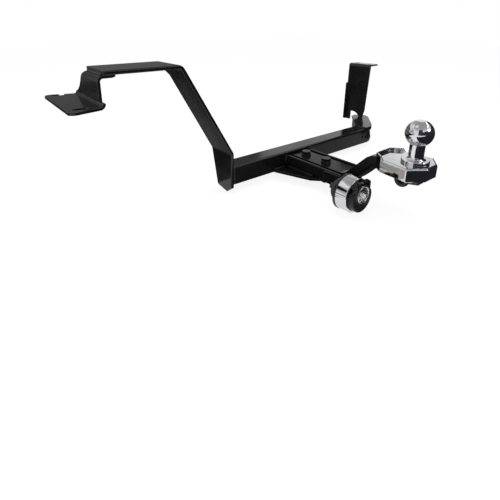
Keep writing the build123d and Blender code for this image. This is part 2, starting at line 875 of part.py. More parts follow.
# Socket body: barrel, clamped flange and rear spigot, with two ears for the hinge pin
with BuildPart() as socket_housing:
    with BuildSketch(socket_section):
        with BuildLine():
            flange_radius = sleeve_radius - sleeve_wall - sleeve_fit
            spigot_end = bracket_rear + spigot_past_bracket
            bore_end = housing_front + bore_depth
            Polyline(
                (bore_radius, housing_front),
                (barrel_radius, housing_front),
                (barrel_radius, sleeve_rear - housing_flange),
                (flange_radius, sleeve_rear - housing_flange),
                (flange_radius, sleeve_rear),
                (spigot_radius, sleeve_rear),
                (spigot_radius, spigot_end),
                (spigot_bore_radius, spigot_end),
                (spigot_bore_radius, bore_end),
                (bore_radius, bore_end),
                close=True,
            )
        make_face()
    revolve(axis=socket_axis)
    for ear_start in (-ear_outer, ear_inner):
        with BuildSketch(Plane.YZ.offset(ear_start - socket_left)):
            with BuildLine():
                Polyline(
                    (lid_back + lid_front_gap, hinge_z),
                    (lid_back + lid_front_gap, ear_throat_rise - socket_below),
                    (socket_front, ear_throat_rise - socket_below),
                    (socket_front, ear_root_rise - socket_below),
                    (sleeve_rear - housing_flange, ear_root_rise - socket_below),
                    (sleeve_rear - housing_flange, ear_top_rise - socket_below),
                    (hinge_y + ear_radius, ear_top_rise - socket_below),
                    (hinge_y + ear_radius, hinge_z),
                    close=True,
                )
            make_face()
            with Locations((hinge_y, hinge_z)):
                Circle(ear_radius)
        extrude(amount=ear_thickness)
    with BuildSketch(Plane.YZ.offset(-ear_outer - socket_left)):
        with Locations((hinge_y, hinge_z)):
            Circle(pin_radius)
    extrude(amount=2 * ear_outer, mode=Mode.SUBTRACT)
    with BuildSketch(socket_face(housing_front)):
        Circle(bore_radius)
    extrude(amount=-bore_depth, mode=Mode.SUBTRACT)
    with BuildSketch(socket_face(housing_front)):
        with Locations((0, -bore_radius)):
            Rectangle(keyway_width, 2 * keyway_depth)
    extrude(amount=insert_front - housing_front, dir=(0, 1, 0), mode=Mode.SUBTRACT)
    with BuildSketch(socket_face(sleeve_rear)):
        with screw_places:
            Circle(screw_diameter / 2 + insert_clearance)
    extrude(amount=housing_flange, mode=Mode.SUBTRACT)
save(socket_housing.part, "socket_housing")

# Contact carrier and its contacts: one in the middle, the rest in a ring
contact_ring = PolarLocations(contact_circle / 2, contact_count, start_angle=screw_first_angle)
with BuildPart() as contact_insert:
    with BuildSketch(socket_face(insert_front + insert_thickness)):
        Circle(bore_radius - insert_clearance)
        Circle(contact_diameter / 2, mode=Mode.SUBTRACT)
        with contact_ring:
            Circle(contact_diameter / 2, mode=Mode.SUBTRACT)
    extrude(amount=insert_thickness)
save(contact_insert.part, "contact_insert")

with BuildPart() as contact_pins:
    with BuildSketch(socket_face(insert_front + contact_rear)):
        Circle(contact_diameter / 2)
        with contact_ring:
            Circle(contact_diameter / 2)
    extrude(amount=contact_rear + contact_front)
    chamfer(contact_pins.edges().group_by(Axis.Y)[0], length=contact_diameter / 8)
    with BuildSketch(socket_face(insert_front)):
        Rectangle(contact_slit, contact_diameter)
        with contact_ring:
            Rectangle(contact_slit, contact_diameter)
    extrude(amount=contact_front, mode=Mode.SUBTRACT)
save(contact_pins.part, "contact_pins")

# Screws and nuts that clamp body, gasket and bracket together
screw_head_plane = sleeve_rear - housing_flange
screw_end = bracket_rear + screw_nut_height + screw_past_nut
with BuildPart() as socket_screws:
    with BuildSketch(socket_face(screw_head_plane)):
        with screw_places:
            Circle(screw_head_radius)
    extrude(amount=screw_head_height)
    fillet(socket_screws.edges().group_by(Axis.Y)[0], radius=screw_head_height / 4)
    with BuildSketch(socket_face(screw_end)):
        with screw_places:
            Circle(screw_diameter / 2)
    extrude(amount=screw_end - screw_head_plane)
    with BuildSketch(socket_face(screw_head_plane - screw_head_height / 2)):
        with screw_places:
            Rectangle(2 * screw_head_radius, screw_slot)
    extrude(amount=screw_head_height / 2, mode=Mode.SUBTRACT)
save(socket_screws.part, "socket_screws")

with BuildPart() as socket_nuts:
    with BuildSketch(socket_face(bracket_rear + screw_nut_height)):
        with screw_places:
            RegularPolygon(hexagon(screw_nut_across_flats), 6)
            Circle(screw_diameter / 2, mode=Mode.SUBTRACT)
    extrude(amount=screw_nut_height)
save(socket_nuts.part, "socket_nuts")

# Rubber boot over the spigot, drawn out into a cable gland
with BuildPart() as cable_boot:
    with BuildSketch(socket_section):
        with BuildLine():
            boot_end = bracket_rear + boot_length
            gland_end = boot_end + gland_length
            Polyline(
                (spigot_radius, bracket_rear),
                (boot_radius, bracket_rear),
                (boot_radius, boot_end - boot_wall),
                (boot_radius - boot_wall, boot_end),
                (gland_radius, boot_end),
                (gland_tip_radius, gland_end),
                (gland_bore_radius, gland_end),
                (gland_bore_radius, boot_end - boot_wall),
                (spigot_radius, boot_end - boot_wall),
                close=True,
            )
        make_face()
    revolve(axis=socket_axis)
save(cable_boot.part, "cable_boot")

# Ring seal between the lid and the barrel
with BuildPart() as lid_seal:
    with BuildSketch(socket_face(housing_front - seal_gap)):
        Circle(seal_outer_radius)
        Circle(seal_inner_radius, mode=Mode.SUBTRACT)
    extrude(amount=housing_front - seal_gap - lid_back)
save(lid_seal.part, "lid_seal")

# Lid: round disc with a square head whose top edge carries the hinge knuckles
with BuildPart() as socket_lid:
    with BuildSketch(Plane.YZ.offset(-socket_left - lid_radius)):
        with Locations((lid_front, hinge_z)):
            Rectangle(lid_thickness, 2 * lid_radius, align=(Align.MIN, Align.MAX))
        with Locations((hinge_y, hinge_z)):
            Circle(knuckle_radius)
    extrude(amount=2 * lid_radius)
    with BuildSketch(socket_face(socket_front)) as lid_plan:
        Circle(lid_radius)
        with Locations((0, lid_shoulder)):
            Rectangle(
                2 * lid_radius,
                lid_radius,
                align=(Align.CENTER, Align.MIN),
                mode=Mode.SUBTRACT,
            )
        with Locations((0, 0)):
            Rectangle(
                2 * lid_head_half_width,
                hinge_rise + knuckle_radius,
                align=(Align.CENTER, Align.MIN),
            )
        fillet(lid_plan.vertices().group_by(Axis.Y)[-1], radius=lid_head_corner)
    extrude(amount=2 * knuckle_radius + lid_front_gap, mode=Mode.INTERSECT)
    with BuildSketch(socket_face(lid_back)):
        Circle(lid_radius)
        Circle(lid_radius - lid_skirt, mode=Mode.SUBTRACT)
        with Locations((0, lid_shoulder)):
            Rectangle(
                2 * lid_radius,
                lid_radius,
                align=(Align.CENTER, Align.MIN),
                mode=Mode.SUBTRACT,
            )
    extrude(amount=lid_back - socket_front + lid_front_gap)
    with BuildSketch(socket_face(lid_front)):
        notch_bottom = hinge_rise - knuckle_radius - ear_side_gap
        notch_half = ear_thickness / 2 + ear_side_gap
        for centre, half in (
            (-(ear_inner + ear_outer) / 2, notch_half),
            (0, spring_half_length + ear_side_gap + spring_wire / 2),
            ((ear_inner + ear_outer) / 2, notch_half),
        ):
            with Locations((centre, notch_bottom)):
                Rectangle(2 * half, 3 * knuckle_radius, align=(Align.CENTER, Align.MIN))
    extrude(amount=-2 * knuckle_radius, mode=Mode.SUBTRACT)
    with BuildSketch(Plane.YZ.offset(-socket_left - lid_head_half_width)):
        with Locations((hinge_y, hinge_z)):
            Circle(pin_radius + pin_clearance)
    extrude(amount=2 * lid_head_half_width, mode=Mode.SUBTRACT)
    add(lid_seal.part, mode=Mode.SUBTRACT)
    lid_rim = socket_lid.edges().group_by(Axis.Y)[0].filter_by(GeomType.CIRCLE)
    chamfer(lid_rim.sort_by(SortBy.LENGTH)[-1], length=lid_rim_round)
save(socket_lid.part, "socket_lid")

# Chrome badge on the lid: low dome inside a raised bead
with BuildPart() as lid_badge:
    badge_z = badge_rise - socket_below
    with BuildSketch(Plane(origin=(-socket_left, 0, badge_z))):
        with BuildLine():
            bead_y = lid_front - badge_height + badge_bead
            floor_y = lid_front - badge_floor
            dome_radius = badge_radius - 3 * badge_bead
            Polyline(
                (0, floor_y - badge_dome),
                (0, lid_front),
                (badge_radius, lid_front),
                (badge_radius, bead_y),
            )
            ThreePointArc(
                (badge_radius, bead_y),
                (badge_radius - badge_bead, bead_y - badge_bead),
                (badge_radius - 2 * badge_bead, bead_y),
            )
            Line((badge_radius - 2 * badge_bead, bead_y), (dome_radius, floor_y))
            TangentArc((0, floor_y - badge_dome), (dome_radius, floor_y), tangent=(1, 0))
        make_face()
    revolve(axis=Axis((-socket_left, 0, badge_z), (0, 1, 0)))
save(lid_badge.part, "lid_badge")

with BuildPart() as lid_hinge_pin:
    with BuildSketch(Plane.YZ.offset(-ear_outer - socket_left)):
        with Locations((hinge_y, hinge_z)):
            Circle(pin_radius)
    extrude(amount=2 * ear_outer)
    chamfer(lid_hinge_pin.edges().filter_by(GeomType.CIRCLE), length=pin_radius / 5)
save(lid_hinge_pin.part, "lid_hinge_pin")

# Torsion spring round the pin between the two lid knuckles
with BuildPart() as lid_spring:
    with BuildLine() as spring_path:
        coil = Helix(
            pitch=2 * spring_half_length / spring_turns,
            height=2 * spring_half_length,
            radius=spring_radius,
            center=(-socket_left - spring_half_length, hinge_y, hinge_z),
            direction=(1, 0, 0),
        )
    with BuildSketch(Plane(origin=coil @ 0, z_dir=coil % 0)):
        Circle(spring_wire / 2)
    sweep(path=spring_path.line, is_frenet=True)
save(lid_spring.part, "lid_spring")
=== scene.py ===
"""Looks of the trailer hitch: finishes, weld beads and bolt threads on its frame, in a small studio."""
import json
import math
import random

import bpy
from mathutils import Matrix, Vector


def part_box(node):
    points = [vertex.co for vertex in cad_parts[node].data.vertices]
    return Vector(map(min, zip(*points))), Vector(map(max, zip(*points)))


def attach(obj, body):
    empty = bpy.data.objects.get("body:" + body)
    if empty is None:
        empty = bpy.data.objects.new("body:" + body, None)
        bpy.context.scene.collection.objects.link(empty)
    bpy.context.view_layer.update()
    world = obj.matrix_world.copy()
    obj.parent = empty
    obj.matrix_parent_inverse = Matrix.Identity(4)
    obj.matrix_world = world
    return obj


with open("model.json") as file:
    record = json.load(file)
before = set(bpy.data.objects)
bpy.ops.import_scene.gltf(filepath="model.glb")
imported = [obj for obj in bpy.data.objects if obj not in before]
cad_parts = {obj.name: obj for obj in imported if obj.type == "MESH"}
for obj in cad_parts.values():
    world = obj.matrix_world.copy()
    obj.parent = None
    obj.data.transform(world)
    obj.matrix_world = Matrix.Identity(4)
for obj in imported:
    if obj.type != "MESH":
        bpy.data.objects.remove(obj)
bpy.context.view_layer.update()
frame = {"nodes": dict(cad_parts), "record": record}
nodes = frame["nodes"]
scene = bpy.context.scene

BODY = "hitch_frame"
MM = 0.001

# How well an edge's softened normal agrees with its true one: where the paler edge colour is full (worn
# enamel and rubbed plastic; on the enamel it is partly a painted highlight), and where the surface keeps
# its own colour
PALE_EDGE = 0.9
WHOLE_PAINT = 0.995


class ShaderTree:
    """Short calls for the shader nodes of a material or a world."""

    def __init__(self, owner):
        owner.use_nodes = True
        self.nodes = owner.node_tree.nodes
        self.links = owner.node_tree.links

    def feed(self, socket, source):
        """Links an output to the socket, or sets a constant on it."""
        if isinstance(source, bpy.types.NodeSocket):
            self.links.new(source, socket)
        else:
            socket.default_value = source

    def add(self, kind, sockets=(), **settings):
        """New node; sockets holds an output or a constant for each socket's name or number."""
        node = self.nodes.new(kind)
        for key, value in settings.items():
            setattr(node, key, value)
        for key, source in dict(sockets).items():
            self.feed(node.inputs[key], source)
        return node

    def math(self, operation, a, b):
        return self.add("ShaderNodeMath", {0: a, 1: b}, operation=operation).outputs["Value"]

    def texture(self, vector, scale, detail):
        """Cloudy grey, with about as many clouds to the unit as scale says."""
        sockets = {"Vector": vector, "Scale": scale, "Detail": detail}
        return self.add("ShaderNodeTexNoise", sockets).outputs["Fac"]

    def ramp(self, fac, *stops):
        """Grey or colour by fac; a stop is a position with a grey or a colour."""
        node = self.add("ShaderNodeValToRGB", {"Fac": fac})
        elements = node.color_ramp.elements
        while len(elements) < len(stops):
            elements.new(0.5)
        for element, (position, value) in zip(elements, stops):
            element.position = position
            element.color = (*value, 1) if isinstance(value, tuple) else (value, value, value, 1)
        return node.outputs["Color"]

    def spread(self, value, low, high, at_low=0, at_high=1):
        """Runs from at_low to at_high as value goes from low to high."""
        sockets = {
            "Value": value,
            "From Min": low,
            "From Max": high,
            "To Min": at_low,
            "To Max": at_high,
        }
        return self.add("ShaderNodeMapRange", sockets).outputs["Result"]

    def mix(self, fac, low, high):
        """Colour between low and high, by fac. Sockets 6 and 7 are the node's two colours."""
        return self.add("ShaderNodeMix", {"Factor": fac, 6: low, 7: high}, data_type="RGBA").outputs[2]


class Shader(ShaderTree):
    """A Principled material, textured in metres of the object's own space."""

    def __init__(self, name, metallic):
        self.mat = bpy.data.materials.new(name)
        super().__init__(self.mat)
        self.bsdf = self.nodes["Principled BSDF"]
        self.coord = self.add("ShaderNodeTexCoord").outputs["Object"]
        self.set("Metallic", metallic)

    def set(self, socket, source):
        self.feed(self.bsdf.inputs[socket], source)

    def noise(self, scale, detail=4.0, stretch=(1, 1, 1)):
        mapping = self.add("ShaderNodeMapping", {"Vector": self.coord, "Scale": stretch})
        return self.texture(mapping.outputs["Vector"], scale, detail)

    def bump(self, height, strength, distance, over=None):
        """Normals of a height, on top of other normals where over gives them."""
        sockets = {"Height": height, "Strength": strength, "Distance": distance}
        if over is not None:
            sockets["Normal"] = over
        return self.add("ShaderNodeBump", sockets).outputs["Normal"]

    def rounded(self, radius):
        """Normals that soften each hard edge over the given radius."""
        return self.add("ShaderNodeBevel", {"Radius": radius}, samples=6).outputs["Normal"]

    def edges(self, radius):
        """Mask that is white along hard edges: where the softened and the true normals part."""
        true = self.add("ShaderNodeNewGeometry").outputs["True Normal"]
        sockets = {0: self.rounded(radius), 1: true}
        agreement = self.add("ShaderNodeVectorMath", sockets, operation="DOT_PRODUCT").outputs["Value"]
        return self.spread(agreement, WHOLE_PAINT, PALE_EDGE)


def black_enamel(name, shine):
    """Thick stoving enamel: orange peel, a scuffed sheen, dusty hollows, and paler edges that are partly
    worn paint and partly a painted highlight.
    """
    s = Shader(name, 0.0)
    deep, plain, dusty = (0.0022, 0.0022, 0.0024), (0.0042, 0.0042, 0.0045), (0.009, 0.0088, 0.0084)
    coat = s.ramp(s.noise(14), (0.3, deep), (0.62, plain), (0.9, dusty))
    worn_edge_and_highlight = s.ramp(s.noise(60, 6), (0.35, (0.012, 0.012, 0.0125)), (0.75, (0.05, 0.05, 0.052)))
    # Paler colour along the hard edges: partly worn paint, partly a painted highlight standing in for
    # the light that the edges catch
    s.set("Base Color", s.mix(s.edges(1.6 * MM), coat, worn_edge_and_highlight))
    s.set("Roughness", s.ramp(s.noise(38, 6), (0.3, 0.11), (0.62, 0.17), (0.86, 0.32)))
    peel = s.bump(s.noise(420, 3), 0.1, 0.4 * MM, s.rounded(1.1 * MM))
    s.set("Normal", s.bump(s.noise(26, 2), 0.08, 2 * MM, peel))
    s.set("Specular IOR Level", shine)
    return s.mat


def weld_paint():
    """The same enamel over the ripples of a weld bead."""
    s = Shader("weld_bead_enamel", 0.0)
    plain, dusty = (0.004, 0.004, 0.0042), (0.016, 0.0155, 0.015)
    s.set("Base Color", s.ramp(s.noise(90), (0.3, plain), (0.8, dusty)))
    s.set("Roughness", s.ramp(s.noise(160, 5), (0.3, 0.18), (0.8, 0.4)))
    s.set("Normal", s.bump(s.noise(700, 3), 0.3, 0.4 * MM))
    s.set("Specular IOR Level", 0.25)
    return s.mat


def chrome(name, wave, wave_scale=34):
    """Plated steel: near mirror, with faint haze, polishing lines and a soft unevenness."""
    s = Shader(name, 1.0)
    s.set("Base Color", s.ramp(s.noise(22), (0.35, (0.6, 0.6, 0.615)), (0.7, (0.72, 0.72, 0.735))))
    s.set("Roughness", s.ramp(s.noise(60, 6), (0.35, 0.04), (0.65, 0.07), (0.88, 0.17)))
    lines = s.bump(s.noise(900, 2, (1, 1, 0.08)), 0.05, 0.2 * MM, s.rounded(0.7 * MM))
    s.set("Normal", s.bump(s.noise(wave_scale, 2), wave, 1.4 * MM, lines))
    return s.mat


def zinc_steel():
    """Zinc-plated hardware: satin grey with a faint warm bloom and handling marks."""
    s = Shader("zinc_plated_steel", 1.0)
    dull, bright, warm = (0.36, 0.36, 0.36), (0.5, 0.5, 0.48), (0.55, 0.51, 0.42)
    s.set("Base Color", s.ramp(s.noise(120), (0.3, dull), (0.55, bright), (0.8, warm)))
    s.set("Roughness", s.ramp(s.noise(260, 6), (0.3, 0.22), (0.8, 0.46)))
    s.set("Normal", s.bump(s.noise(1300, 3), 0.12, 0.2 * MM, s.rounded(0.4 * MM)))
    return s.mat


def brass():
    """Turned contact brass, lightly tarnished."""
    s = Shader("contact_brass", 1.0)
    s.set("Base Color", s.ramp(s.noise(300), (0.3, (0.55, 0.38, 0.17)), (0.7, (0.8, 0.62, 0.32))))
    s.set("Roughness", s.ramp(s.noise(500, 5), (0.3, 0.18), (0.8, 0.42)))
    s.set("Normal", s.bump(s.noise(1500, 2, (1, 6, 1)), 0.1, 0.1 * MM, s.rounded(0.3 * MM)))
    return s.mat


def black_plastic():
    """Moulded plastic with a fine spark texture and rubbed edges."""
    s = Shader("moulded_black_plastic", 0.0)
    body = s.ramp(s.noise(80), (0.3, (0.003, 0.003, 0.0034)), (0.8, (0.007, 0.007, 0.0074)))
    rubbed = s.ramp(s.noise(240, 5), (0.35, (0.02, 0.02, 0.021)), (0.75, (0.06, 0.06, 0.062)))
    s.set("Base Color", s.mix(s.edges(0.8 * MM), body, rubbed))
    s.set("Roughness", s.ramp(s.noise(220, 6), (0.3, 0.26), (0.8, 0.46)))
    s.set("Normal", s.bump(s.noise(1600, 2), 0.16, 0.2 * MM, s.rounded(0.6 * MM)))
    s.set("Specular IOR Level", 0.25)
    return s.mat


def black_rubber():
    """Matt rubber with bloom and pores."""
    s = Shader("black_rubber", 0.0)
    s.set("Base Color", s.ramp(s.noise(150), (0.3, (0.01, 0.01, 0.01)), (0.8, (0.026, 0.0255, 0.025))))
    s.set("Roughness", s.ramp(s.noise(300, 6), (0.3, 0.55), (0.8, 0.8)))
    s.set("Normal", s.bump(s.noise(1100, 4), 0.25, 0.3 * MM, s.rounded(0.6 * MM)))
    return s.mat


enamel = black_enamel("gloss_black_enamel", 0.38)
receiver_enamel = black_enamel("receiver_black_enamel", 0.22)
weld_enamel = weld_paint()
slot_materials = {
    "black_paint": enamel,
    "chrome": chrome("bright_chrome", 0.12),
    "zinc_steel": zinc_steel(),
    "black_plastic": black_plastic(),
    "black_rubber": black_rubber(),
    "contact_brass": brass(),
}
# Nodes with a finish of their own; the others take the one of their material slot
own_materials = {
    "ball_mount": black_enamel("ball_mount_black_enamel", 0.14),
    "receiver_channel": receiver_enamel,
    "receiver_gusset": receiver_enamel,
    "clamp_bolts": receiver_enamel,
    "tow_ball": chrome("polished_ball_chrome", 0.05),
    "lid_badge": chrome("pebbled_badge_chrome", 1.0, 190),
}
slot_of = {entry["node"]: entry["material_slot"] for entry in frame["record"]["subparts"]}
for name, obj in nodes.items():
    material = own_materials.get(name) or slot_materials[slot_of[name]]
    for slot in obj.material_slots:
        slot.material = material


# Pieces made here: weld beads and bolt threads
def piece(name, verts, faces, material):
    """Smooth mesh that rides on the hitch's frame, in the given material."""
    mesh = bpy.data.meshes.new(name)
    mesh.from_pydata([tuple(v) for v in verts], [], faces)
    mesh.validate()
    mesh.polygons.foreach_set("use_smooth", [True] * len(mesh.polygons))
    mesh.materials.append(material)
    obj = bpy.data.objects.new(name, mesh)
    scene.collection.objects.link(obj)
    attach(obj, BODY)


def resample(points, step):
    """Points spaced evenly along a polyline."""
    points = [Vector(p) for p in points]
    out = [points[0]]
    for a, b in zip(points, points[1:]):
        count = max(1, round((b - a).length / step))
        out += [a.lerp(b, (i + 1) / count) for i in range(count)]
    return out


def tube_rings(points, radii, sides):
    """Rings of a tube that follows points, one radius for each."""
    verts = []
    normal = None
    for i, point in enumerate(points):
        ahead = points[min(i + 1, len(points) - 1)] - points[max(i - 1, 0)]
        ahead.normalize()
        if normal is None:
            normal = ahead.orthogonal().normalized()
        normal = (normal - ahead * normal.dot(ahead)).normalized()
        side = ahead.cross(normal)
        for k in range(sides):
            angle = 2 * math.pi * k / sides
            verts.append(point + (normal * math.cos(angle) + side * math.sin(angle)) * radii[i])
    return verts


def tube_faces(rings, sides, start=0):
    """Quads between the rings and a face at each end; start is the number of the first vertex."""
    faces = []
    for i in range(rings - 1):
        for k in range(sides):
            a = start + i * sides + k
            b = start + i * sides + (k + 1) % sides
            faces.append((a, b, b + sides, a + sides))
    faces.append(tuple(start + k for k in reversed(range(sides))))
    faces.append(tuple(start + (rings - 1) * sides + k for k in range(sides)))
    return faces


# A bead's ring spacing and sides, and how far its middle line stands off the faces that it joins
BEAD_STEP = 0.8 * MM
BEAD_SIDES = 10
OFF = 0.6 * MM

# Ripples of a bead: their length, then their valley, rise and unevenness as shares of the bead's size,
# and the power of their wave, which makes full crests where it is under one
RIPPLE_LENGTH = 3.4 * MM
RIPPLE_VALLEY = 0.88
RIPPLE_RISE = 0.14
RIPPLE_UNEVEN = 0.03
RIPPLE_POWER = 0.6

# A bead's ends close over this many rings, and the last ring counts as this share of one
END_RINGS = 4
END_TIP = 0.4


def weld(name, runs, size, seed):
    """Rippled beads of about the given radius, one along each run of points, closed at both ends."""
    rng = random.Random(seed)
    verts, faces = [], []
    for run in runs:
        points = resample(run, BEAD_STEP)
        length, radii = 0.0, []
        for i, point in enumerate(points):
            length += (point - points[i - 1]).length if i else 0.0
            ripple = RIPPLE_RISE * abs(math.sin(math.pi * length / RIPPLE_LENGTH)) ** RIPPLE_POWER
            from_end = min(i, len(points) - 1 - i)
            taper = math.sin(min(1.0, (from_end + END_TIP) / END_RINGS) * math.pi / 2)
            uneven = rng.uniform(-RIPPLE_UNEVEN, RIPPLE_UNEVEN)
            radii.append(size * (RIPPLE_VALLEY + ripple + uneven) * taper)
        start = len(verts)
        verts += tube_rings(points, radii, BEAD_SIDES)
        faces += tube_faces(len(points), BEAD_SIDES, start)
    piece(name, verts, faces, weld_enamel)


def both_sides(*points):
    """The mirror image, on the left, of a run that lies on the right, and then the run itself."""
    return [[(side * x, y, z) for x, y, z in points] for side in (-1, 1)]


def circle(x, y, z, radius, count=16):
    """Closed circle of points in a level plane."""
    angles = [2 * math.pi * k / count for k in range(count + 1)]
    return [(x + radius * math.cos(a), y + radius * math.sin(a), z) for a in angles]


channel_lo, channel_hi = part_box("receiver_channel")
gusset_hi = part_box("receiver_gusset")[1]
channel_half = channel_hi[0]
tube_rear = channel_hi[1]
on_tube = tube_rear - OFF

# Channel to crossbar: outside its walls, from above the round of its fold to just under its top edge
CHANNEL_FOLD = 10.4 * MM
WALL_BEAD_STOP = 1 * MM
weld(
    "weld_channel_to_crossbar",
    both_sides(
        (channel_half + OFF, on_tube, channel_lo[2] + CHANNEL_FOLD),
        (channel_half + OFF, on_tube, channel_hi[2] - WALL_BEAD_STOP),
    ),
    size=2.7 * MM,
    seed=2,
)

# Inside the channel: out along its floor, round the corner at the given place and up its wall
CHANNEL_WALL = 6.35 * MM
FLOOR_BEAD_FROM = 27 * MM
FLOOR_CORNER_OUT = 34 * MM
FLOOR_CORNER_UP = 8.5 * MM
INNER_BEAD_STOP = 2 * MM
weld(
    "weld_channel_floor_to_crossbar",
    both_sides(
        (FLOOR_BEAD_FROM, on_tube, channel_lo[2] + CHANNEL_WALL + OFF),
        (FLOOR_CORNER_OUT, on_tube, channel_lo[2] + FLOOR_CORNER_UP),
        (channel_half - CHANNEL_WALL - OFF, on_tube, channel_hi[2] - INNER_BEAD_STOP),
    ),
    size=2.4 * MM,
    seed=3,
)

# Wings of the gusset to the crossbar, from their tips to beside the channel
WING_TIP_GAP = 1 * MM
WING_ROOT_GAP = 2 * MM
weld(
    "weld_gusset_to_crossbar",
    both_sides(
        (gusset_hi[0] - WING_TIP_GAP, on_tube, gusset_hi[2] + OFF),
        (channel_half + WING_ROOT_GAP, on_tube, gusset_hi[2] + OFF),
    ),
    size=2.4 * MM,
    seed=4,
)

# Gusset to channel, under the round of the channel's fold, from the crossbar to the gusset's shoulder
FOLD_BEAD_INSET = 3.5 * MM
FOLD_BEAD_RISE = 1.2 * MM
FOLD_BEAD_FROM = 6 * MM
FOLD_BEAD_TO = 86 * MM
weld(
    "weld_gusset_to_channel",
    both_sides(
        (channel_half - FOLD_BEAD_INSET, tube_rear - FOLD_BEAD_FROM, gusset_hi[2] + FOLD_BEAD_RISE),
        (channel_half - FOLD_BEAD_INSET, tube_rear - FOLD_BEAD_TO, gusset_hi[2] + FOLD_BEAD_RISE),
    ),
    size=3 * MM,
    seed=5,
)

# Left arm to the crossbar's end: up the rear, over the top and down the front, then a short bead below
cap_lo, cap_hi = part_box("crossbar_left_end_cap")
CAP_CORNER = 4 * MM
FRONT_BEAD_STOP = 14 * MM
LOWER_BEAD_FROM = 5 * MM
LOWER_BEAD_STOP = 12 * MM
on_arm = cap_lo[0] + OFF
cap_rear, cap_front = cap_lo[1] - OFF, cap_hi[1] + OFF
cap_top, cap_bottom = cap_hi[2] + OFF, cap_lo[2] - OFF
weld(
    "weld_arm_to_crossbar",
    [
        [
            (on_arm, cap_rear, cap_lo[2] + CAP_CORNER),
            (on_arm, cap_rear, cap_hi[2] - CAP_CORNER),
            (on_arm, cap_lo[1] + CAP_CORNER, cap_top),
            (on_arm, cap_hi[1] - CAP_CORNER, cap_top),
            (on_arm, cap_front, cap_hi[2] - CAP_CORNER),
            (on_arm, cap_front, cap_lo[2] + FRONT_BEAD_STOP),
        ],
        [
            (on_arm, cap_lo[1] + LOWER_BEAD_FROM, cap_bottom),
            (on_arm, cap_hi[1] - LOWER_BEAD_STOP, cap_bottom),
        ],
    ],
    size=2.3 * MM,
    seed=6,
)

# Foot of the right upright to its plate, on both faces of the sheet, which is as thick as the plate
plate_lo, plate_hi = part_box("upright_foot_plate")
upright_lo, upright_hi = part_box("right_upright")
UPRIGHT_FLANGE = 40 * MM
UPRIGHT_TAPER = 12 * MM
UPRIGHT_FOOT = 12 * MM
FOOT_BEAD_PAST = 1 * MM
web = upright_hi[0] - UPRIGHT_FLANGE
sheet = plate_hi[2] - plate_lo[2]
foot_rear = upright_lo[1] + UPRIGHT_TAPER
foot_front = foot_rear + UPRIGHT_FOOT
on_plate = plate_hi[2] + OFF
weld(
    "weld_upright_to_foot_plate",
    [
        [(x, foot_rear - FOOT_BEAD_PAST, on_plate), (x, foot_front + FOOT_BEAD_PAST, on_plate)]
        for x in (web - OFF, web + sheet + OFF)
    ],
    size=2.6 * MM,
    seed=7,
)

# Left end of the foot plate to the crossbar's top
PLATE_BEAD_FROM = 4 * MM
PLATE_BEAD_TO = 32 * MM
weld(
    "weld_foot_plate_to_crossbar",
    [
        [
            (plate_lo[0] - OFF, tube_rear + PLATE_BEAD_FROM, plate_lo[2] + OFF),
            (plate_lo[0] - OFF, tube_rear + PLATE_BEAD_TO, plate_lo[2] + OFF),
        ]
    ],
    size=2.4 * MM,
    seed=8,
)

# Front end of the socket bracket's leg to the channel
LEG_BEAD_HALF = 10 * MM
LEG_BEAD_OUT = 1 * MM
leg_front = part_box("socket_bracket")[1][1]
leg_middle = (channel_lo[2] + channel_hi[2]) / 2
weld(
    "weld_socket_bracket_to_channel",
    [
        [
            (-channel_half - LEG_BEAD_OUT, leg_front, leg_middle - LEG_BEAD_HALF),
            (-channel_half - LEG_BEAD_OUT, leg_front, leg_middle + LEG_BEAD_HALF),
        ]
    ],
    size=2.2 * MM,
    seed=9,
)

# Left foot bracket to the arm's top: along the arm's tip, and along the bracket's own edge under the arm
arm_lo, arm_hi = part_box("left_arm")
foot_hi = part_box("left_foot_bracket")[1]
TIP_BEAD_FROM = 5 * MM
TIP_BEAD_TO = 7 * MM
TIP_BEAD_RISE = 1 * MM
UNDER_BEAD_FROM = 6 * MM
UNDER_BEAD_TO = 16 * MM
weld(
    "weld_foot_bracket_to_arm",
    [
        [
            (arm_lo[0] - OFF, arm_hi[1] - TIP_BEAD_FROM, foot_hi[2] + TIP_BEAD_RISE),
            (arm_lo[0] - OFF, arm_lo[1] + TIP_BEAD_TO, foot_hi[2] + TIP_BEAD_RISE),
        ],
        [
            (foot_hi[0] + OFF, arm_hi[1] - UNDER_BEAD_FROM, foot_hi[2] - OFF),
            (foot_hi[0] + OFF, arm_lo[1] + UNDER_BEAD_TO, foot_hi[2] - OFF),
        ],
    ],
    size=2.2 * MM,
    seed=10,
)

# Round each end of the safety chain loops, where it meets the pad's underside
loops_lo, loops_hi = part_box("safety_chain_loops")
LOOP_RADIUS = 5 * MM
LOOP_BEAD_OUT = 0.2 * MM
weld(
    "weld_chain_loops_to_pad",
    [
        circle(x, y, loops_hi[2] - OFF, LOOP_RADIUS + LOOP_BEAD_OUT)
        for x in (loops_lo[0] + LOOP_RADIUS, loops_hi[0] - LOOP_RADIUS)
        for y in (loops_lo[1] + LOOP_RADIUS, loops_hi[1] - LOOP_RADIUS)
    ],
    size=1.6 * MM,
    seed=11,
)

# Threads of the M12 clamp bolts: radius, pitch, tooth height as a share of the pitch, and fineness
BOLT_RADIUS = 6 * MM
PITCH = 1.75 * MM
TOOTH = 0.22
THREAD_SIDES = 40
STEPS_PER_TURN = 8

# A thread starts just past its bolt's chamfer, and is this share of its full height where it runs out
THREAD_START = 1.05 * MM
RUN_OUT = 0.3


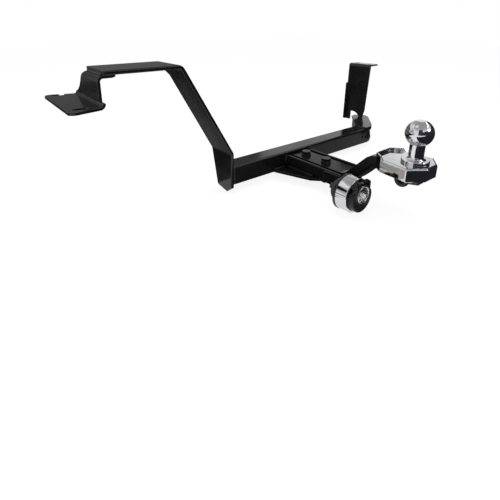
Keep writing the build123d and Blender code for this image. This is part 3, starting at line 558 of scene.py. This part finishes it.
def thread(name, x, y, low, high):
    """Cut thread a little proud of a plain bolt end, closed at the top and the bottom."""
    steps = round((high - low) / PITCH * STEPS_PER_TURN)
    verts = []
    for i in range(steps + 1):
        z = low + (high - low) * i / steps
        fade = min(1.0, (z - low) / PITCH, (high - z) / PITCH + RUN_OUT)
        for k in range(THREAD_SIDES):
            phase = (z / PITCH - k / THREAD_SIDES) % 1
            tooth = 1 - abs(2 * phase - 1)
            r = BOLT_RADIUS + TOOTH * PITCH * tooth * fade
            angle = 2 * math.pi * k / THREAD_SIDES
            verts.append((x + r * math.cos(angle), y + r * math.sin(angle), z))
    piece(name, verts, tube_faces(steps + 1, THREAD_SIDES), enamel)


bolts_lo, bolts_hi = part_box("clamp_bolts")
nuts_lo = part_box("clamp_nuts")[0]
bolt_x = (bolts_lo[0] + bolts_hi[0]) / 2
flat_half = (bolts_hi[0] - bolts_lo[0]) / 2 * math.cos(math.pi / 6)
thread("thread_front_bolt", bolt_x, bolts_hi[1] - flat_half, bolts_lo[2] + THREAD_START, nuts_lo[2])
thread("thread_rear_bolt", bolt_x, bolts_lo[1] + flat_half, bolts_lo[2] + THREAD_START, nuts_lo[2])

# Camera of the photograph: its place, heading and pitch
CAMERA_AT = Vector((-0.6569, -0.3067, 0.194))
HEADING = Vector((0.606, 0.7955, 0)).normalized()
PITCH_DOWN = math.radians(18.21)

# In the photograph's pixels: its side, the camera's focal length and the place its axis points at
PHOTO_SIDE = 500
FOCAL_PIXELS = 367.3
AXIS_X = 235.2
AXIS_Y = 142.1
SENSOR_MM = 36

look = HEADING * math.cos(PITCH_DOWN) - Vector((0, 0, math.sin(PITCH_DOWN)))
camera = bpy.data.objects.new("camera", bpy.data.cameras.new("camera"))
camera.data.sensor_width = SENSOR_MM
camera.data.lens = SENSOR_MM * FOCAL_PIXELS / PHOTO_SIDE
camera.data.shift_x = (PHOTO_SIDE / 2 - AXIS_X) / PHOTO_SIDE
camera.data.shift_y = (AXIS_Y - PHOTO_SIDE / 2) / PHOTO_SIDE
camera.data.clip_start = 0.01
camera.location = CAMERA_AT
camera.rotation_euler = look.to_track_quat("-Z", "Y").to_euler()
scene.collection.objects.link(camera)
scene.camera = camera


def lamp(name, at, target, size, power, in_reflections=True):
    """Soft rectangular lamp aimed at a point; its power is in watts."""
    data = bpy.data.lights.new(name, "AREA")
    data.shape = "RECTANGLE"
    data.size, data.size_y = size
    data.energy = power
    obj = bpy.data.objects.new(name, data)
    obj.location = at
    obj.rotation_euler = (Vector(target) - Vector(at)).to_track_quat("-Z", "Y").to_euler()
    obj.visible_glossy = in_reflections
    scene.collection.objects.link(obj)


# Lamps: place, target, size and power; the overhead cards stand for the first two in reflections
lamp("top_softbox", (-0.2, 0.1, 1.6), (0, 0.2, 0), (2.0, 1.6), 20, in_reflections=False)
lamp("left_softbox", (-1.7, 0.3, 0.8), (0, 0.1, 0), (1.4, 1.1), 8, in_reflections=False)
lamp("rear_softbox", (0.5, -1.4, 0.8), (0, 0.1, 0), (0.7, 0.5), 3)
lamp("edge_strip", (1.1, -0.6, 1.4), (0, 0.3, 0), (1.6, 0.16), 4)

# Share of its colour that a stage surface shows under the lamps, and the floor's share of plain glow
STAGE_DIFFUSE = 0.9
FLOOR_GLOW = 0.88


def glow_material(name, color, share):
    """Stage colour: share of it glows to the eye and in reflections, the rest is lit by the lamps."""
    material = bpy.data.materials.new(name)
    tree = ShaderTree(material)
    tree.nodes.clear()
    rays = tree.add("ShaderNodeLightPath").outputs
    reflected = tree.math("MAXIMUM", rays["Is Glossy Ray"], rays["Is Transmission Ray"])
    seen = tree.math("MAXIMUM", rays["Is Camera Ray"], reflected)
    fac = tree.math("MULTIPLY", seen, share)
    glow = tree.add("ShaderNodeEmission", {"Color": (*color, 1)}).outputs["Emission"]
    lit_color = (*(STAGE_DIFFUSE * value for value in color), 1)
    lit = tree.add("ShaderNodeBsdfDiffuse", {"Color": lit_color}).outputs["BSDF"]
    mix = tree.add("ShaderNodeMixShader", {"Fac": fac, 1: lit, 2: glow})
    tree.add("ShaderNodeOutputMaterial", {"Surface": mix.outputs["Shader"]})
    return material


def stage_plane(name, corners, material):
    """Flat piece of the studio, not of the object."""
    mesh = bpy.data.meshes.new(name)
    mesh.from_pydata(corners, [], [tuple(range(len(corners)))])
    mesh.materials.append(material)
    obj = bpy.data.objects.new(name, mesh)
    scene.collection.objects.link(obj)
    return obj


def level(x, y, z):
    """Corners of a level rectangle over the ranges x and y."""
    return [(x[0], y[0], z), (x[1], y[0], z), (x[1], y[1], z), (x[0], y[1], z)]


def card(name, corners, color):
    """Studio card that only shows in reflections: the camera misses it, and it casts no shadow."""
    obj = stage_plane(name, corners, glow_material(name, color, 1.0))
    obj.visible_camera = False
    obj.visible_diffuse = False
    obj.visible_shadow = False
    obj.visible_volume_scatter = False


def level_card(name, x, y, z, color):
    """Level card over the ranges x and y."""
    card(name, level(x, y, z), color)


def upright_card(name, a, b, low, high, color):
    """Card standing between two plan points."""
    card(name, [(*a, low), (*b, low), (*b, high), (*a, high)], color)


# Floor: its gap below the lowest piece, and how far it reaches
WHITE = (1.0, 1.0, 1.0)
FLOOR_GAP = 1 * MM
FLOOR_REACH = 6
floor_z = min(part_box(name)[0][2] for name in nodes) - FLOOR_GAP
floor_range = (-FLOOR_REACH, FLOOR_REACH)
pale_floor = glow_material("pale_floor", WHITE, FLOOR_GLOW)
stage_plane("floor", level(floor_range, floor_range, floor_z), pale_floor)

# Cards overhead, by their x and y ranges: a grey ceiling, a white window below it and one beyond it
WINDOW_Z = 1.55
level_card("overhead_grey_card", (-1.3, 1.0), (-0.9, 1.1), 1.6, (0.42, 0.42, 0.43))
level_card("overhead_window_card", (-1.15, -0.45), (0.1, 0.85), WINDOW_Z, WHITE)
level_card("far_window_card", (-1.6, -0.05), (1.12, 2.0), WINDOW_Z, WHITE)

# Cards on the floor; one that overlaps another lies a little higher than it
DARK = (0.02, 0.02, 0.024)
low_z = floor_z + 0.5 * MM
middle_z = floor_z + 0.75 * MM
strip_z = floor_z + 1 * MM
badge_z = floor_z + 1.5 * MM
level_card("rear_floor_card", (-0.5, 2.5), (-2.5, -0.05), low_z, DARK)
level_card("under_ball_card", (-0.06, 2.5), (-0.05, 0.045), low_z, DARK)
level_card("under_bar_left_card", (-0.06, 0.12), (0.045, 0.14), low_z, DARK)
level_card("under_bar_right_card", (0.12, 0.42), (0.045, 0.165), low_z, DARK)
level_card("right_floor_card", (0.42, 2.5), (0.045, 0.9), low_z, DARK)
level_card("crossbar_right_card", (0.12, 0.42), (0.165, 0.3), low_z, (0.4, 0.4, 0.41))
level_card("crossbar_left_card", (-0.2, 0.12), (0.14, 0.36), low_z, (0.06, 0.06, 0.06))
level_card("far_left_floor_card", (-2.5, -0.28), (0.36, 3.0), low_z, (0.05, 0.05, 0.05))
level_card("far_middle_floor_card", (-0.28, 0.7), (0.36, 3.0), middle_z, (0.14, 0.14, 0.14))
level_card("left_floor_card", (-0.28, -0.2), (0.205, 0.29), low_z, (0.34, 0.36, 0.31))
level_card("warm_floor_card", (-0.28, -0.2), (0.165, 0.205), low_z, (0.5, 0.42, 0.4))
level_card("badge_floor_card", (-0.02, 0.03), (-0.03, 0.025), badge_z, (0.95, 0.95, 0.95))

# Slanting strip on the floor that the left arm's face mirrors
card(
    "arm_light_card",
    [(-0.16, 0.318, strip_z), (-0.16, 0.368, strip_z), (-0.36, 0.82, strip_z), (-0.36, 0.77, strip_z)],
    (0.2, 0.2, 0.2),
)

# Dark walls of the studio; the far one is paler
upright_card("rear_card", (-2.2, -2.5), (2.6, -2.5), floor_z, 1.3, (0.03, 0.03, 0.035))
upright_card("camera_side_card", (-1.7, -0.5), (-1.1, -1.3), floor_z, 1.5, (0.05, 0.05, 0.06))
upright_card("right_card", (1.6, -2.5), (1.6, 0.55), floor_z, 1.1, (0.03, 0.03, 0.035))
upright_card("far_card", (-1.2, 2.2), (1.3, 1.9), floor_z, 0.9, (0.16, 0.16, 0.16))

# Clouds in the reflected sky: the noise that draws them, their grey, and where they turn grey and white
CLOUD_SCALE = 2.6
CLOUD_DETAIL = 3
CLOUD_GREY = (0.55, 0.55, 0.57)
CLOUD_GREY_AT = 0.36
CLOUD_WHITE_AT = 0.54

# Darker part of the sky: where it starts and is full, as the height of a unit ray, and how bright it is
OVERHEAD_LOW = 0.45
OVERHEAD_HIGH = 0.8
OVERHEAD_SHARE = 0.5


def cloudy_world():
    """White backdrop; reflections find soft clouds in it instead of one flat tone, darker overhead."""
    world = bpy.data.worlds.new("studio")
    scene.world = world
    tree = ShaderTree(world)
    ray = tree.add("ShaderNodeTexCoord").outputs["Generated"]
    noise = tree.texture(ray, CLOUD_SCALE, CLOUD_DETAIL)
    clouds = tree.ramp(noise, (CLOUD_GREY_AT, CLOUD_GREY), (CLOUD_WHITE_AT, WHITE))
    height = tree.add("ShaderNodeSeparateXYZ", {"Vector": ray}).outputs["Z"]
    share = tree.spread(height, OVERHEAD_LOW, OVERHEAD_HIGH, 1, OVERHEAD_SHARE)
    shaded = tree.add("ShaderNodeVectorMath", {0: clouds, "Scale": share}, operation="SCALE")
    in_reflection = tree.add("ShaderNodeLightPath").outputs["Is Glossy Ray"]
    sky = tree.mix(in_reflection, (*WHITE, 1), shaded.outputs["Vector"])
    tree.feed(tree.nodes["Background"].inputs["Color"], sky)


cloudy_world()
scene.view_settings.view_transform = "Standard"
